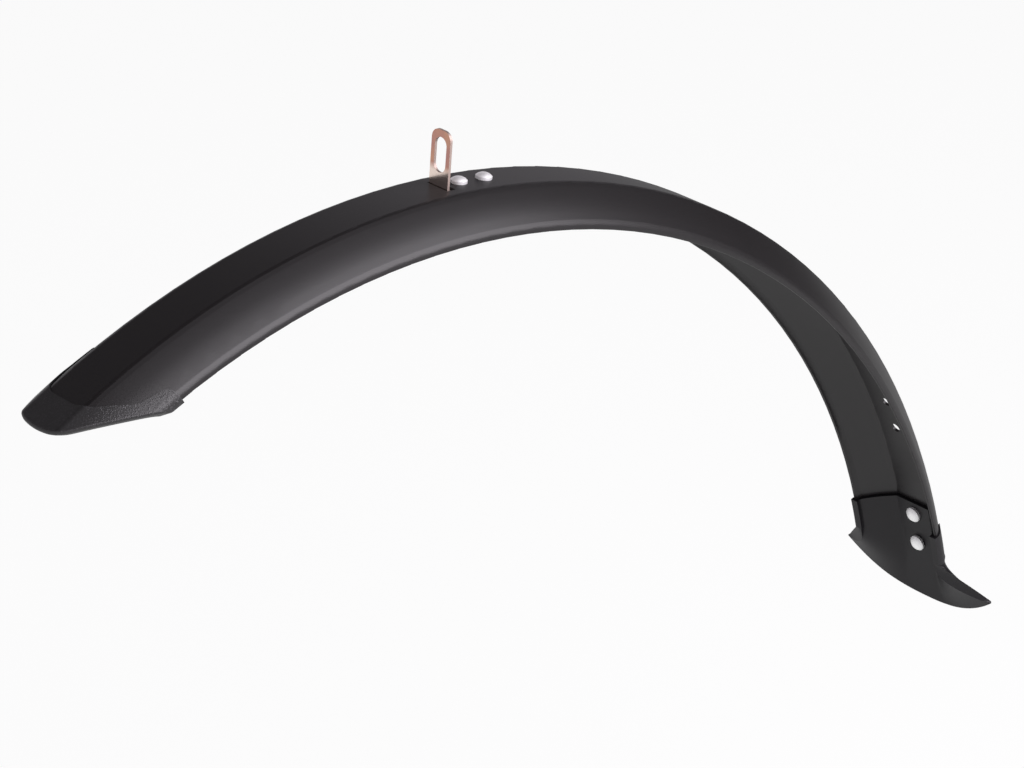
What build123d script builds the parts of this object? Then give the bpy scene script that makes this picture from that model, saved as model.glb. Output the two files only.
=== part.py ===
from build123d import *
import os
from math import asin, atan2, cos, degrees, radians, sin, tan

# Front mudguard for a 28 inch bicycle wheel.
# Origin: middle of the fork slot, on the bracket's front face. +X to the rear, +Z up, Y along the axle.
# Angles are about the axle, in degrees, behind the bracket. Lengths are in millimetres.

# Blade: one channel section carried round the wheel, cut back on a slant at both ends
blade_width = 55.0
blade_depth = 16.6
crown_width = 22.8
crown_radius = 360.0
skirt_height = 2.4
wall_bow = 0.7
shoulder_radius = 2.6
blade_sheet = 1.4
edge_round = 0.5
front_angle = 33.75
rear_angle = 73.6
nose_length = 36.5
nose_corner = 13.0
nose_bow = 0.16
heel_length = 19.0
heel_corner = 6.0
heel_bow = 0.05

# Holes for the stays, on the crown
stay_angle = 58.8
stay_pitch = 18.6
stay_hole = 5.2

# Fork bracket: a bent plate that stands up through the crown, with its foot under it
plate_width = 11.7
plate_sheet = 1.2
slot_width = 7.2
slot_length = 15.4
slot_height = 14.0
top_rail = 3.1
top_corner = 4.2
bend_radius = 1.2
foot_length = 33.0
foot_corner = 3.0
crown_slot_gap = 0.5
crown_slot_relief = 2.4

# Rivets: a round head, a shank and a closed tail
shank = 4.0
shank_gap = 0.1
tail_head = 6.2
tail_height = 1.1
head_rim = 1.2
bracket_head = 7.3
bracket_head_height = 2.7
bracket_rivet_first = 11.5
bracket_rivet_pitch = 14.0
flap_head = 8.2
flap_head_height = 3.2
flap_rivet_inset = 8.6
flap_rivet_pitch = 18.2

# Fine gap between a rivet or the cap and what it sits on
seat_gap = 0.05

# Nose cap: a soft cover over the front end, scooped on top and carried back along both edges
cap_wall = 0.9
cap_lining = 0.8
cap_end = 1.3
cap_round = 1.2
cap_crown_cover = 14.0
cap_rim_half = 12.0
cap_rim_bend = 12.0
cap_side_cover = 45.1
cap_lobe_width = 2.9
cap_lobe_length = 14.4
cap_lobe_splay = 1.9
cap_lobe_corner = 3.0

# Mud flap: lines the rear end, hooks round the edges and flares out below the blade
flap_sheet = 1.9
flap_lip = 0.7
flap_hook = 1.3
flap_cover = 34.0
lip_inner_half = 22.0
flare_lead = 15.5
fold_reach = 7.2
flap_drop = 24.4
flap_span = 96.2
flap_corner_rise = 17.4
flap_dish = 2.4
flap_rim = 0.8
bottom_curve = 2.5
cove_curve = 2.5
tail_step = 0.3

# Working values: how far cutting shapes reach, the least bend, how much of a half edge a bend may take,
# how much of a wall is curved, and the stations of the flap's skins
clear = 60.0
spare_angle = 3.0
form_lift = 8.0
smallest_bend = 0.2
bend_share = 0.98
curve_share = 0.75
skin_columns = 16
skin_rows = 10
skin_tolerance = 0.01

# Derived values
half_width = blade_width / 2
edge_radius = crown_radius - blade_depth
crown_inner = crown_radius - blade_sheet
lining_inner = crown_inner - flap_sheet
axle = Vector(0, 0, -(crown_radius + slot_height))
axle_axis = Axis(axle, (0, 1, 0))
section_plane = Plane(origin=axle, x_dir=(0, 1, 0), z_dir=(1, 0, 0))
wall_slope = atan2(blade_depth - skirt_height, half_width - crown_width / 2)
wall_half = (half_width - crown_width / 2) / cos(wall_slope) / 2
wall_rise = wall_bow / (1 - curve_share / 2)
wall_lean = atan2(wall_rise, wall_half)
wall_bend = curve_share * wall_half / sin(wall_lean)
edge_turn_radius = skirt_height / tan((radians(90) - wall_slope - wall_lean) / 2)


def crown_angle(length):
    """Angle about the axle of a length measured along the crown."""
    return degrees(length / crown_radius)


def outward(angle):
    """Direction away from the axle at an angle."""
    return Vector(sin(radians(angle)), 0, cos(radians(angle)))


def side_point(radius, angle):
    """Point of the side view, as x and z."""
    point = axle + outward(angle) * radius
    return (point.X, point.Z)


def tangent_plane(angle, radius, ahead=False):
    """Plane square to the wheel's radius, its y axis along the blade, to the rear or to the front."""
    across = (0, 1, 0) if ahead else (0, -1, 0)
    return Plane(origin=axle + outward(angle) * radius, x_dir=across, z_dir=outward(angle))


def close_up(line, *corners):
    """Face inside an open line, closed through further corners."""
    return make_face(line.edges() + Polyline(line @ 1, *corners, line @ 0).edges())


def mirrored(half):
    """A run of points with its mirror image before it."""
    return [(-x, y) for x, y in reversed(half)] + half


def sweep_round(face, start, end):
    """Carries a section, drawn above the blade's edges, round the axle from one angle to another."""
    placed = (section_plane * Pos(0, edge_radius) * face).rotate(axle_axis, start)
    return revolve(placed, axle_axis, end - start)


def moved_out(corner, before, after, grow):
    """A corner of the section pushed out with the sides that meet there, each facing at an angle from up."""
    reach = grow / cos((after - before) / 2)
    facing = (before + after) / 2
    return (corner[0] + reach * sin(facing), corner[1] + reach * cos(facing))


def channel_line(grow, drop):
    """The blade's section line pushed out by grow, ending drop below the blade's edges."""
    middle = ((crown_width / 2 + half_width) / 2, (blade_depth + skirt_height) / 2)
    bulge = moved_out(middle, wall_slope, wall_slope, wall_rise)
    corners = [(crown_width / 2, blade_depth), bulge, (half_width, skirt_height)]
    facing = [0, wall_slope - wall_lean, wall_slope + wall_lean, radians(90)]
    half = [moved_out(*corner, grow) for corner in zip(corners, facing, facing[1:])]
    bends = [max(bend + grow, smallest_bend) for bend in (shoulder_radius, wall_bend, edge_turn_radius)]
    points = mirrored(half + [(half_width + grow, -drop)])
    return FilletPolyline(*points, radius=bends[::-1] + bends)


def channel_area(grow, drop):
    """Filled section of the channel, closed straight across drop below the edges."""
    above = Pos(0, clear / 2 - drop) * Rectangle(4 * clear, clear)
    return close_up(channel_line(grow, clear)) & above


def channel_wall(outer, inner, drop):
    """Wall of the channel between two offsets of the blade's section."""
    return channel_area(outer, drop) - channel_area(inner, 2 * drop + clear / 4)


def end_form(plane, length, corner, bow, grow=0.0):
    """Block that a blade end fits: bowed across the crown, then slanting back to the edges over a length.

    The block narrows towards the axle, so that the slanting cut stands square to the blade's walls.
    """
    slant = atan2(half_width - crown_width / 2 + blade_depth * tan(wall_slope), length)
    taper = cos(slant) * tan(wall_slope)
    turn = radians(90) - slant - atan2(bow, 1)
    plans = []
    for level in (form_lift, -blade_depth - form_lift):
        step = grow + level * taper
        tip = crown_width / 2 + step * (1 - sin(slant)) / cos(slant)
        half = [(tip, step), (tip + 2 * clear * sin(slant), step - 2 * clear * cos(slant))]
        points = mirrored(half)
        points.insert(2, (0, step + bow * tip))
        room = bend_share * tip / (2 * tan(turn / 2))
        bend = max(min(corner + step, room), smallest_bend)
        outline = FilletPolyline(*points, radius=[bend, tip / (2 * bow), bend])
        plans.append(plane * Pos(0, 0, level) * close_up(outline))
    return loft(plans, ruled=True)


def end_waste(plane, length, *shape):
    """What is cut off a blade end to leave its form."""
    block = Pos(0, clear - 1.5 * length) * Box(4 * clear, 2 * clear, 2 * clear)
    return plane * block - end_form(plane, length, *shape)


nose = (tangent_plane(-front_angle, crown_radius, ahead=True), nose_length, nose_corner, nose_bow)
heel = (tangent_plane(rear_angle, crown_radius), heel_length, heel_corner, heel_bow)
bracket_rivet_angles = [crown_angle(bracket_rivet_first + i * bracket_rivet_pitch) for i in range(2)]
flap_rivet_angles = [rear_angle - crown_angle(flap_rivet_inset + i * flap_rivet_pitch) for i in range(2)]


def shank_hole(angle):
    """Hole for a rivet's shank, through everything at one angle of the crown."""
    return tangent_plane(angle, crown_radius) * Cylinder(shank / 2 + shank_gap, clear)


def make_blade():
    section = channel_wall(0, -blade_sheet, 0)
    section = fillet(section.vertices().group_by(Axis.Y)[0], edge_round)
    blade = sweep_round(section, -front_angle - spare_angle, rear_angle + spare_angle)
    blade -= end_waste(*nose)
    blade -= end_waste(*heel)
    slot_run = plate_sheet + crown_slot_relief + 2 * crown_slot_gap
    slot = Box(slot_run, plate_width + 2 * crown_slot_gap, 2 * blade_depth)
    blade -= Pos((plate_sheet + crown_slot_relief) / 2, 0, -slot_height) * slot
    for angle in bracket_rivet_angles + flap_rivet_angles:
        blade -= shank_hole(angle)
    for side in (-1, 1):
        place = tangent_plane(stay_angle, crown_radius) * Pos(0, side * stay_pitch / 2)
        blade -= place * Cylinder(stay_hole / 2, clear)
    return blade


def make_bracket():
    top = slot_length / 2 + top_rail
    tip = crown_angle(foot_length)
    under = crown_inner - plate_sheet
    rise = degrees(asin(plate_sheet / crown_inner))
    inner_corner = side_point(crown_inner, rise)
    outer_corner = side_point(under, 0)
    face = make_face([
        Line((0, top), outer_corner),
        ThreePointArc(outer_corner, side_point(under, tip / 2), side_point(under, tip)),
        Line(side_point(under, tip), side_point(crown_inner, tip)),
        ThreePointArc(side_point(crown_inner, tip), side_point(crown_inner, tip / 2), inner_corner),
        Line(inner_corner, (plate_sheet, top)),
        Line((plate_sheet, top), (0, top)),
    ])
    face = fillet(face.vertices().sort_by_distance(inner_corner)[0], bend_radius)
    face = fillet(face.vertices().sort_by_distance(outer_corner)[0], bend_radius + plate_sheet)
    plate = extrude(Plane.XZ * face, amount=plate_width / 2, both=True)
    crest = plate.faces().sort_by(Axis.Z)[-1]
    plate = fillet(crest.edges().filter_by(Axis.X), top_corner)
    toe = plate.faces().sort_by(Axis.X)[-1]
    plate = fillet(toe.edges().filter_by(Axis.Y, reverse=True), foot_corner)
    plate -= extrude(Plane.YZ * SlotOverall(slot_length, slot_width, rotation=90), amount=clear, both=True)
    for angle in bracket_rivet_angles:
        plate -= shank_hole(angle)
    return plate


def dome(radius, base, rise):
    """Arc of a round head, from its rim at the base to its top on the axis."""
    ball = (radius ** 2 + rise ** 2) / (2 * abs(rise))
    lean = asin(radius / ball) / 2
    sink = ball * (1 - cos(lean))
    middle = (ball * sin(lean), base + rise - (sink if rise > 0 else -sink))
    return ThreePointArc((radius, base), middle, (0, base + rise))


def make_rivet(head, head_height, grip):
    """Rivet about Z, its head above Z 0 and its tail below what it grips."""
    foot = -grip - seat_gap
    rim = (head / 2, head_rim)
    body = Polyline(rim, (head / 2, 0), (shank / 2, 0), (shank / 2, foot), (tail_head / 2, foot))
    outline = dome(head / 2, head_rim, head_height - head_rim).edges() + body.edges()
    outline += dome(tail_head / 2, foot, -tail_height).edges()
    outline += Line((0, foot - tail_height), (0, head_height)).edges()
    return revolve(Plane.XZ * make_face(outline), Axis.Z)


def make_bracket_rivets():
    rivet = make_rivet(bracket_head, bracket_head_height, blade_sheet + plate_sheet)
    return Compound([tangent_plane(a, crown_radius) * rivet.solid() for a in bracket_rivet_angles])


def make_flap_rivets():
    rivet = Rot(180, 0, 0) * make_rivet(flap_head, flap_head_height, blade_sheet + flap_sheet)
    seat = lining_inner - seat_gap
    return Compound([tangent_plane(a, seat) * rivet.solid() for a in flap_rivet_angles])


def cap_plan():
    """Plan of what lies ahead of the nose cap's rim: scooped over the crown, with a lobe at each edge."""
    lobe = half_width - cap_lobe_width
    knee = (lobe - cap_lobe_splay, cap_lobe_length - cap_side_cover)
    half = [(cap_rim_half, -cap_crown_cover), knee, (lobe, -cap_side_cover), (clear, -cap_side_cover)]
    bends = [cap_lobe_corner, cap_rim_bend, cap_rim_bend]
    rim = FilletPolyline(*mirrored(half), radius=bends + bends[::-1])
    return close_up(rim, (clear, clear), (-clear, clear))


def make_cap():
    back = crown_angle(cap_side_cover) - front_angle
    reach = (-front_angle - spare_angle, back + spare_angle)
    block = sweep_round(channel_area(cap_wall, clear / 4), *reach)
    form = end_form(*nose, cap_end)
    cap = block & form
    cap = fillet(new_edges(block, form, combined=cap), cap_round)
    cap &= sweep_round(channel_wall(2 * cap_wall, -blade_sheet - cap_lining, cap_lining), *reach)
    cap &= extrude(nose[0] * cap_plan(), amount=clear, both=True)
    seat = sweep_round(channel_wall(seat_gap, -blade_sheet - seat_gap, seat_gap), *reach)
    return cap - (seat & end_form(*nose, seat_gap))


def flap_point(share, row, line, curve, thickness):
    """Point of one of the flap's skins: share across, -1 to 1, and row, 0 at the flare to 1 at the bottom."""
    side = abs(share)
    start = line @ (0.5 + share / 2)
    flare = rear_angle - crown_angle(flare_lead)
    bottom = rear_angle + crown_angle(flap_drop - flap_corner_rise * side ** bottom_curve)
    fold = rear_angle + crown_angle(fold_reach - (flare_lead + fold_reach) * side)
    angle = flare + row * (bottom - flare)
    spread = max((angle - fold) / (bottom - fold), 0) ** curve
    level = lining_inner - flap_dish * side ** 2 + thickness - edge_radius
    width = start.X + spread * (share * flap_span / 2 - start.X)
    radius = edge_radius + start.Y + spread * (level - start.Y)
    return axle + outward(angle) * radius + Vector(0, width, 0)


def flap_skin(grow, curve, thickness):
    """One skin of the flap's tail: starts as the channel under the blade, then opens out."""
    line = channel_line(grow, flap_hook)
    shares = [i / skin_columns for i in range(-skin_columns, skin_columns + 1)]
    rows = [i / skin_rows for i in range(skin_rows + 1)]
    points = [[flap_point(share, row, line, curve, thickness) for share in shares] for row in rows]
    return Face.make_surface_from_array_of_points(points, tol=skin_tolerance)


def make_flap(blade):
    inner = flap_skin(tail_step - blade_sheet - flap_sheet, cove_curve, 0)
    outer = flap_skin(flap_lip - tail_step, 1, flap_sheet)
    rims = [
        Face.make_surface_from_curves(edge, outer.edges().sort_by_distance(edge.center())[0])
        for edge in inner.edges()
    ]
    tail = Solid(Shell([inner, outer] + rims))
    bottom = axle + outward(rear_angle + crown_angle(flap_drop)) * lining_inner
    tail = fillet(tail.edges().sort_by_distance(bottom)[:2], flap_rim)
    top = rear_angle - crown_angle(flap_cover)
    section = channel_wall(flap_lip, -blade_sheet - flap_sheet, flap_hook)
    flap = sweep_round(section, top, rear_angle - crown_angle(flare_lead)) + tail - blade
    strip = channel_wall(clear / 4, -blade_sheet, 0) & Rectangle(2 * lip_inner_half, 4 * clear)
    bare = sweep_round(strip, top - spare_angle, rear_angle + spare_angle)
    flap -= bare & end_form(*heel)
    for angle in flap_rivet_angles:
        flap -= shank_hole(angle)
    return flap


blade = make_blade()
pieces = {
    "blade": blade,
    "fork_bracket": make_bracket(),
    "bracket_rivets": make_bracket_rivets(),
    "nose_cap": make_cap(),
    "mud_flap": make_flap(blade),
    "flap_rivets": make_flap_rivets(),
}
os.makedirs("parts", exist_ok=True)
for name, piece in pieces.items():
    export_step(piece, f"parts/{name}.step")
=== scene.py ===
import math
import bpy
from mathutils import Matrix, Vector


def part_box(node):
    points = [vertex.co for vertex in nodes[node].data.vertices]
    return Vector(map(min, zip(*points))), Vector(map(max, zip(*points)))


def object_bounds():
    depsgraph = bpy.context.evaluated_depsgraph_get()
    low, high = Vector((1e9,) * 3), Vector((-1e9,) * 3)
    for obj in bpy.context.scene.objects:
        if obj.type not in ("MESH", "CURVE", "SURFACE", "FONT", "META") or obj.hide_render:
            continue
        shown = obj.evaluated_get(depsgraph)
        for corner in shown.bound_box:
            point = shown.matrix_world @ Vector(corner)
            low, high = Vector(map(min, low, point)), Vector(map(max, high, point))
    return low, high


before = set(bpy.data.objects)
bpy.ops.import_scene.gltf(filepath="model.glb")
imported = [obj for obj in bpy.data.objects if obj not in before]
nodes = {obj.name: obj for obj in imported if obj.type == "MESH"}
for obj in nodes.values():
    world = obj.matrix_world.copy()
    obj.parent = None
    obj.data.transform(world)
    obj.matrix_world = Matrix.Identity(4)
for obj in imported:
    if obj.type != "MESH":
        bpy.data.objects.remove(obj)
cad_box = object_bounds()

white = (1, 1, 1, 1)
black = (0, 0, 0, 1)

# Camera, in the part's frame
camera_place = (-0.9716, -1.0697, 0.4966)
camera_turn_deg = (67.506, -4.054, -42.035)
camera_lens_mm = 129.58
camera_sensor_mm = 36.0

# Floor, a drop below the part
floor_drop = 0.16
floor_radius = 6.0
floor_sides = 96
floor_colour = (0.9, 0.9, 0.9, 1)
floor_glow = 0.93

# World: pale all round, dark overhead and beyond the rear end
# A span is where pale turns to dark, in parts of a unit direction
surround_colour = (0.765, 0.73, 0.775, 1)
overhead_colour = (0.024, 0.02, 0.019, 1)
overhead_span = (0.43, 0.6)
rear_shade = (0.05, 0.05, 0.05, 1)
rear_span = (0.7, 0.93)

# Side light: a wide soft panel on the near side
side_light_towards = (0.24, -0.73, 0.64)
side_light_distance = 1.6
side_light_size = (2.1, 1.05)
side_light_power = 42.0
side_light_colour = (0.985, 0.945, 1.0)

# Cap: its grain fades in between two shares of its length, counted from the tip
cap_fade = (0.25, 0.6)
cap_least_grain = 0.25

# Bracket: the heights that its plate spans, and the shares of them over which a pale painted
# highlight at its foot turns to the warm plating
bracket_heights = (-0.012, 0.011)
bracket_painted_highlight = (0.2, 0.34)

# Bracket: how squarely a surface looks forwards or back, from a sheared edge to a rolled face
bracket_edge_to_face = (0.6, 0.95)


def add(tree, kind, inputs=None, **settings):
    """New node with settings, and inputs that are set or are linked from other nodes."""
    node = tree.nodes.new("ShaderNode" + kind)
    for name, value in settings.items():
        setattr(node, name, value)
    for name, source in (inputs or {}).items():
        if isinstance(source, bpy.types.NodeSocket):
            tree.links.new(source, node.inputs[name])
        else:
            node.inputs[name].default_value = source
    return node


def places(tree, stretch=(1, 1, 1)):
    """Places on the part, in metres, stretched along its axes."""
    where = add(tree, "TexCoord").outputs["Object"]
    return add(tree, "Mapping", {"Vector": where, "Scale": stretch}).outputs["Vector"]


def along(tree, vector, axis):
    """How far a vector reaches along an axis."""
    return add(tree, "SeparateXYZ", {"Vector": vector}).outputs[axis]


def noise(tree, size, detail=2.0, stretch=(1, 1, 1)):
    """Noise from 0 to 1 whose features are a size in metres."""
    inputs = {"Vector": places(tree, stretch), "Scale": 1 / size, "Detail": detail}
    return add(tree, "TexNoise", inputs).outputs["Fac"]


def spread(tree, value, low=0.0, high=1.0, start=0.0, end=1.0):
    """Number that runs from low to high as a value goes from start to end."""
    limits = {"From Min": start, "From Max": end, "To Min": low, "To Max": high}
    return add(tree, "MapRange", {"Value": value, **limits}).outputs["Result"]


def ramp(tree, value, low, high, start=0.0, end=1.0):
    """Colour that runs from low to high as a value goes from start to end."""
    node = add(tree, "ValToRGB", {"Fac": value})
    stops = node.color_ramp.elements
    stops[0].position, stops[0].color = start, low
    stops[1].position, stops[1].color = end, high
    return node.outputs["Color"]


def mix(tree, share, first, second):
    """Colour between two others."""
    return add(tree, "MixRGB", {"Fac": share, "Color1": first, "Color2": second}).outputs["Color"]


def material(name, metallic=0.0):
    """New material, with its nodes and its shader."""
    made = bpy.data.materials.new(name)
    made.use_nodes = True
    tree = made.node_tree
    shader = tree.nodes["Principled BSDF"]
    shader.inputs["Metallic"].default_value = metallic
    return made, tree, shader


def paint(tree, shader, colour, roughness):
    """Links a colour and a roughness to the shader."""
    tree.links.new(colour, shader.inputs["Base Color"])
    tree.links.new(roughness, shader.inputs["Roughness"])


def sheen(shader, weight, ior, roughness):
    """Thin sheen over a dull body, in place of the shader's own gloss."""
    shader.inputs["Specular IOR Level"].default_value = 0.0
    shader.inputs["Coat Weight"].default_value = weight
    shader.inputs["Coat IOR"].default_value = ior
    shader.inputs["Coat Roughness"].default_value = roughness


def bump(tree, shader, socket, height, depth, strength=1.0):
    """Small relief of a depth in metres, felt through one of the shader's normal sockets."""
    inputs = {"Height": height, "Distance": depth, "Strength": strength}
    tree.links.new(add(tree, "Bump", inputs).outputs["Normal"], shader.inputs[socket])


def blade_plastic():
    """Satin black moulded plastic with a fine skin."""
    made, tree, shader = material("satin_black_plastic")
    cloud = noise(tree, size=0.03, detail=3)
    colour = ramp(tree, cloud, low=(0.0105, 0.0095, 0.01, 1), high=(0.013, 0.0118, 0.0124, 1))
    paint(tree, shader, colour, spread(tree, cloud, low=0.6, high=0.75))
    sheen(shader, weight=0.42, ior=1.8, roughness=0.36)
    bump(tree, shader, "Coat Normal", noise(tree, size=0.0006), depth=0.00002, strength=0.6)
    return made


def cap_rubber():
    """Black rubber, smooth at the tip, with a fine sparkling grain farther back."""
    made, tree, shader = material("grained_black_rubber")
    tip, back = [corner.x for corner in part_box("nose_cap")]
    start, end = [tip + share * (back - tip) for share in cap_fade]
    most = spread(tree, along(tree, places(tree), "X"), low=cap_least_grain, start=start, end=end)
    specks = spread(tree, noise(tree, size=0.0007), high=most, start=0.5, end=0.75)
    colour = ramp(tree, specks, low=(0.021, 0.0205, 0.021, 1), high=(0.055, 0.053, 0.057, 1))
    paint(tree, shader, colour, spread(tree, specks, low=0.8, high=0.5))
    sheen(shader, weight=0.5, ior=1.7, roughness=0.33)
    bump(tree, shader, "Coat Normal", specks, depth=0.0001)
    return made


def flap_rubber():
    """Smooth black rubber, a little cloudy."""
    made, tree, shader = material("satin_black_rubber")
    cloud = noise(tree, size=0.02, detail=3)
    colour = ramp(tree, cloud, low=(0.0075, 0.0068, 0.008, 1), high=(0.01, 0.0092, 0.0107, 1))
    paint(tree, shader, colour, spread(tree, cloud, low=0.6, high=0.75))
    sheen(shader, weight=0.36, ior=1.7, roughness=0.42)
    bump(tree, shader, "Coat Normal", noise(tree, size=0.0009), depth=0.00003, strength=0.6)
    return made


def bracket_plate():
    """Warm plated steel, rolled upright, with a pale painted highlight towards its foot, and
    duller sheared edges.
    """
    made, tree, shader = material("warm_plated_steel", metallic=1.0)
    copper, rose = (0.49, 0.265, 0.185, 1), (0.40, 0.20, 0.18, 1)
    # The pale cream colour is a painted highlight for the plate's lowest part, as of its bend
    # reflecting light
    painted_highlight, sheared = (0.78, 0.65, 0.58, 1), (0.5, 0.4, 0.36, 1)
    bottom, top = bracket_heights
    level = spread(tree, along(tree, places(tree), "Z"), start=bottom, end=top)
    warm = ramp(tree, noise(tree, size=0.009), low=copper, high=rose, start=0.35, end=0.65)
    # The plate's lowest part is painted pale, a painted highlight, and the warm plating shows
    # above it
    plate = mix(tree, ramp(tree, level, black, white, *bracket_painted_highlight), painted_highlight, warm)
    facing = along(tree, add(tree, "NewGeometry").outputs["Normal"], "X")
    square = add(tree, "Math", {0: facing}, operation="ABSOLUTE").outputs["Value"]
    edge, face = bracket_edge_to_face
    flat = spread(tree, square, start=edge, end=face)
    lines = noise(tree, size=0.0005, stretch=(1, 1, 0.05))
    rolled = spread(tree, lines, low=0.12, high=0.22)
    paint(tree, shader, mix(tree, flat, sheared, plate), spread(tree, flat, low=0.6, high=rolled))
    bump(tree, shader, "Normal", lines, depth=0.000004, strength=0.5)
    return made


def rivet_metal():
    """Bright aluminium, softly tumbled."""
    made, tree, shader = material("bright_aluminium", metallic=1.0)
    cloud = noise(tree, size=0.0015, detail=3)
    colour = ramp(tree, cloud, low=(0.88, 0.88, 0.88, 1), high=(0.95, 0.95, 0.95, 1))
    paint(tree, shader, colour, spread(tree, cloud, low=0.62, high=0.74))
    return made


def dress(made, *names):
    """Gives nodes of the frame a material in place of their own."""
    for name in names:
        for slot in nodes[name].material_slots:
            slot.material = made


def seen_by(tree, *kinds):
    """1 for rays of the given kinds, else 0."""
    rays = add(tree, "LightPath").outputs
    seen = rays[kinds[0]]
    for kind in kinds[1:]:
        seen = add(tree, "Math", {0: seen, 1: rays[kind]}, operation="MAXIMUM").outputs["Value"]
    return seen


def make_floor():
    """Wide pale floor below the part, which looks white by itself and still takes a shadow."""
    low = cad_box[0].z - floor_drop
    bpy.ops.mesh.primitive_circle_add(
        vertices=floor_sides, radius=floor_radius, fill_type="NGON", location=(0, 0, low))
    floor = bpy.context.object
    floor.name = "floor"
    made = bpy.data.materials.new("pale_floor")
    made.use_nodes = True
    tree = made.node_tree
    tree.nodes.clear()
    matt = add(tree, "BsdfDiffuse", {"Color": floor_colour}).outputs["BSDF"]
    glow = add(tree, "Emission", {"Color": white, "Strength": 1.0}).outputs["Emission"]
    seen = seen_by(tree, "Is Camera Ray", "Is Glossy Ray", "Is Transmission Ray")
    share = spread(tree, seen, high=floor_glow)
    both = add(tree, "MixShader", {"Fac": share, 1: matt, 2: glow}).outputs["Shader"]
    add(tree, "OutputMaterial", {"Surface": both})
    floor.data.materials.append(made)


def make_world():
    """Light from all round, with a dark ceiling and a dark end beyond the part's rear."""
    world = bpy.data.worlds.new("studio")
    world.use_nodes = True
    bpy.context.scene.world = world
    tree = world.node_tree
    towards = add(tree, "TexCoord").outputs["Generated"]
    walls = ramp(tree, along(tree, towards, "X"), surround_colour, rear_shade, *rear_span)
    lowest, highest = overhead_span
    overhead = spread(tree, along(tree, towards, "Z"), start=lowest, end=highest)
    room = mix(tree, overhead, walls, overhead_colour)
    tree.links.new(room, tree.nodes["Background"].inputs["Color"])


def make_side_light():
    """Soft panel that lights the near wall."""
    centre = (cad_box[0] + cad_box[1]) / 2
    towards = Vector(side_light_towards).normalized()
    lamp = bpy.data.lights.new("side_panel", "AREA")
    lamp.shape = "RECTANGLE"
    lamp.size, lamp.size_y = side_light_size
    lamp.energy = side_light_power
    lamp.color = side_light_colour
    panel = bpy.data.objects.new("side_panel", lamp)
    panel.location = centre + towards * side_light_distance
    panel.rotation_mode = "QUATERNION"
    panel.rotation_quaternion = (-towards).to_track_quat("-Z", "Y")
    bpy.context.collection.objects.link(panel)


def make_camera():
    """Camera at the photograph's place."""
    lens = bpy.data.cameras.new("camera")
    lens.lens = camera_lens_mm
    lens.sensor_width = camera_sensor_mm
    camera = bpy.data.objects.new("camera", lens)
    camera.location = camera_place
    camera.rotation_euler = [math.radians(turn) for turn in camera_turn_deg]
    bpy.context.collection.objects.link(camera)
    bpy.context.scene.camera = camera


dress(blade_plastic(), "blade")
dress(cap_rubber(), "nose_cap")
dress(flap_rubber(), "mud_flap")
dress(bracket_plate(), "fork_bracket")
dress(rivet_metal(), "bracket_rivets", "flap_rivets")
make_floor()
make_world()
make_side_light()
make_camera()
bpy.context.scene.view_settings.view_transform = "Standard"
